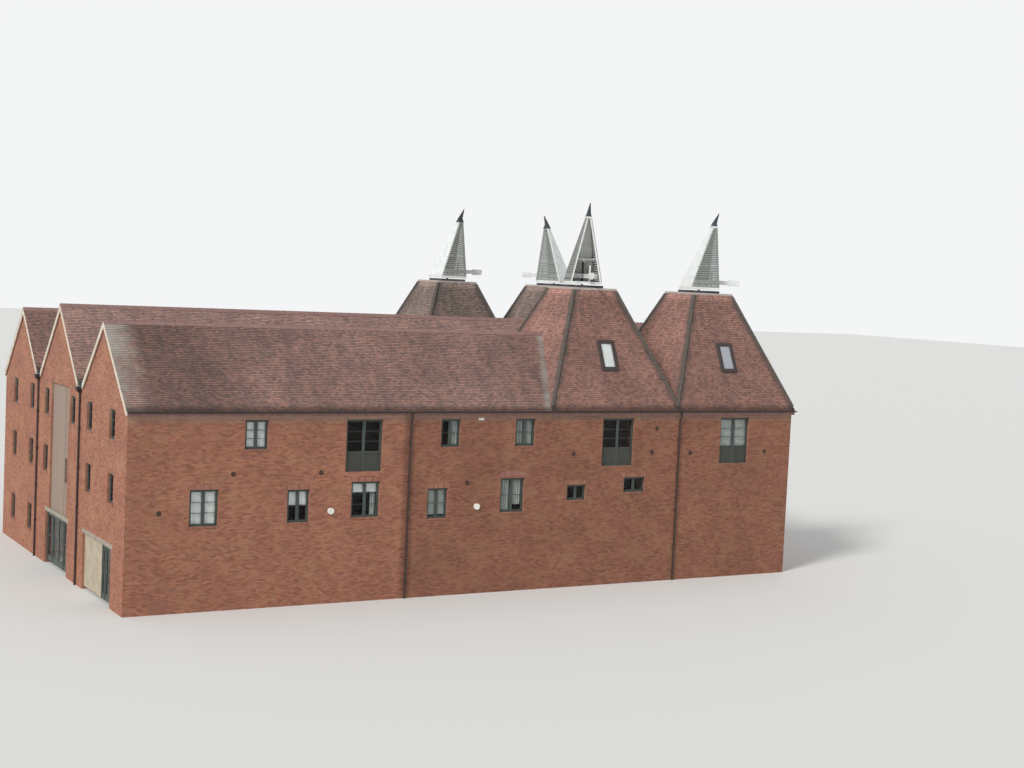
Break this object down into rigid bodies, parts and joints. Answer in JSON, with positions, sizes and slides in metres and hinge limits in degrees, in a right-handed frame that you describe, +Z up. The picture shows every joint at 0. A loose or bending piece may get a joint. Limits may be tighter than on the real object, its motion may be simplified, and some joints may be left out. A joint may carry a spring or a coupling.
{
  "type": "oast house",
  "caption": "Brick oast house of parallel gabled ranges ending in square tiled kilns, with turning cowls that lean over their vanes.",
  "frame": {"origin": "centre of the footprint at ground level", "axes": "+X along the front wall towards the kilns, +Y from the front wall to the rear wall, +Z up"},
  "size_m": [35.91, 22.48, 18.8],
  "materials": {
    "brick": "red-brown stock brick in lime mortar",
    "clay_ridge": "weathered clay ridge tiles",
    "clay_tiles": "weathered plain clay tiles",
    "concrete": "plain cast concrete",
    "cream_mortar": "cream painted verge",
    "dark_iron": "dark painted cast iron",
    "dark_timber": "dark green-grey painted timber",
    "floor_boards": "boarded timber floor",
    "glass": "clear glass",
    "lead": "weathered lead sheet",
    "pale_boards": "pale grey weatherboard",
    "pale_render": "pale rendered panel",
    "pale_timber": "weathered off-white timber",
    "white_boards": "white painted boards",
    "white_lamp": "white bulkhead lamp",
    "white_timber": "white painted timber"
  },
  "bodies": {
    "root": {"bargeboards": "cream_mortar", "cowl_posts": "dark_iron", "door_frames": "dark_timber", "eaves_gutters": "dark_iron", "front_gable_piers": "brick", "front_gable_wall": "brick", "front_left_kiln_roof": "clay_tiles", "front_range_roof": "clay_tiles", "front_right_kiln_roof": "clay_tiles", "front_wall": "brick", "gable_infill": "pale_render", "ground_floor": "concrete", "hip_tiles": "clay_ridge", "kiln_curbs": "pale_timber", "kiln_walls": "brick", "lintels": "concrete", "loading_bay": "pale_boards", "middle_floor": "floor_boards", "middle_gable_piers": "brick", "middle_gable_wall": "brick", "middle_range_roof": "clay_tiles", "rainwater_pipes": "dark_iron", "rear_gable_wall": "brick", "rear_left_kiln_roof": "clay_tiles", "rear_range_roof": "clay_tiles", "rear_right_kiln_roof": "clay_tiles", "rear_wall": "brick", "ridge_tiles": "clay_ridge", "right_wall": "brick", "rooflights": "dark_timber", "side_light_glass": "glass", "spine_walls": "brick", "tie_plates": "dark_iron", "upper_doors": "dark_timber", "upper_floor": "floor_boards", "valley_gutters": "lead", "wall_lamps": "white_lamp", "wall_vent": "white_lamp", "window_arches": "brick", "window_frames": "dark_timber", "window_glass": "glass"},
    "front_left_cowl": {"front_left_cowl_boards": "white_boards", "front_left_cowl_cap": "lead", "front_left_cowl_frame": "white_timber"},
    "front_right_cowl": {"front_right_cowl_boards": "white_boards", "front_right_cowl_cap": "lead", "front_right_cowl_frame": "white_timber"},
    "rear_left_cowl": {"rear_left_cowl_boards": "white_boards", "rear_left_cowl_cap": "lead", "rear_left_cowl_frame": "white_timber"},
    "rear_right_cowl": {"rear_right_cowl_boards": "white_boards", "rear_right_cowl_cap": "lead", "rear_right_cowl_frame": "white_timber"},
    "front_door": {"front_door": "dark_timber", "front_door_glass": "glass"},
    "middle_door_near": {"middle_door_near": "dark_timber", "middle_door_near_glass": "glass"},
    "middle_door_far": {"middle_door_far": "dark_timber", "middle_door_far_glass": "glass"}
  },
  "joints": [
    {"name": "front_left_cowl_turn", "type": "hinge", "parent": "root", "child": "front_left_cowl", "pos_m": [6.6, -7.3, 14.72], "axis": [0, 0, 1], "continuous": true},
    {"name": "front_right_cowl_turn", "type": "hinge", "parent": "root", "child": "front_right_cowl", "pos_m": [14, -7.3, 14.72], "axis": [0, 0, 1], "continuous": true},
    {"name": "rear_left_cowl_turn", "type": "hinge", "parent": "root", "child": "rear_left_cowl", "pos_m": [6.6, 7.3, 14.72], "axis": [0, 0, 1], "continuous": true},
    {"name": "rear_right_cowl_turn", "type": "hinge", "parent": "root", "child": "rear_right_cowl", "pos_m": [14, 7.3, 14.72], "axis": [0, 0, 1], "continuous": true},
    {"name": "front_door_hinge", "type": "hinge", "parent": "root", "child": "front_door", "pos_m": [-17.516, -9.076, 1.3], "axis": [0, 0, -1], "range_deg": [0, 90]},
    {"name": "middle_door_near_hinge", "type": "hinge", "parent": "root", "child": "middle_door_near", "pos_m": [-17.516, -0.96, 1.3], "axis": [0, 0, -1], "range_deg": [0, 90]},
    {"name": "middle_door_far_hinge", "type": "hinge", "parent": "root", "child": "middle_door_far", "pos_m": [-17.516, 0.96, 1.3], "axis": [0, 0, 1], "range_deg": [0, 90]}
  ]
}
